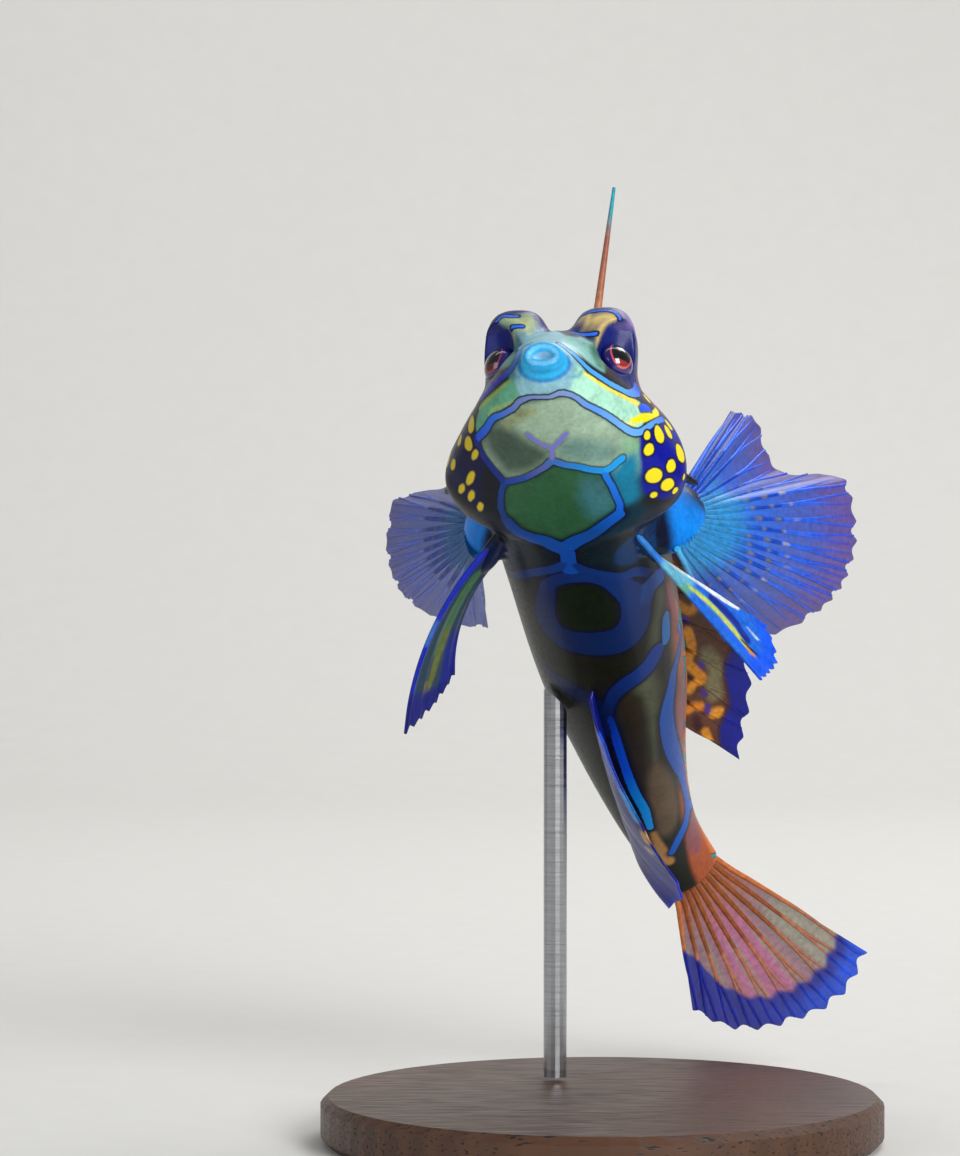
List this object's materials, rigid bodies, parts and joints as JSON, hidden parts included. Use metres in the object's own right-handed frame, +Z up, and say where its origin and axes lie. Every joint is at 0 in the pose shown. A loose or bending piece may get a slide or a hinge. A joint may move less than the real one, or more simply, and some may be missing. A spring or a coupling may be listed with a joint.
{
  "type": "mandarinfish model",
  "caption": "Mandarinfish swimming nose-up with its fins spread, a still life-size model on a round base with one rod.",
  "frame": {"origin": "centre of the stand base's underside, on the floor", "axes": "+Z up, -Y the way the fish's face is turned, +X towards the fish's left"},
  "size_m": [0.0373, 0.046, 0.0612],
  "materials": {
    "throat_skin": "satin, wet-looking",
    "lip_skin": "satin, wet-looking",
    "cheek_skin": "satin, wet-looking",
    "back_skin": "satin, wet-looking",
    "fin_skin": "satin",
    "tail_fin_skin": "satin",
    "eye_surface": "high gloss",
    "stand_wood": "satin",
    "rod_steel": "brushed"
  },
  "bodies": {
    "root": {"head": "throat_skin", "lips": "lip_skin", "eye_left": "eye_surface", "eye_right": "eye_surface", "trunk": "back_skin", "tail_stem": "back_skin", "first_dorsal_fin": "fin_skin", "second_dorsal_fin": "tail_fin_skin", "anal_fin": "fin_skin", "tail_fin": "tail_fin_skin", "pelvic_fin_left": "fin_skin", "pelvic_fin_right": "fin_skin", "pectoral_base_left": "cheek_skin", "pectoral_base_right": "cheek_skin", "pectoral_fin_left": "fin_skin", "pectoral_fin_right": "fin_skin", "stand_base": "stand_wood", "stand_rod": "rod_steel"}
  },
  "joints": []
}
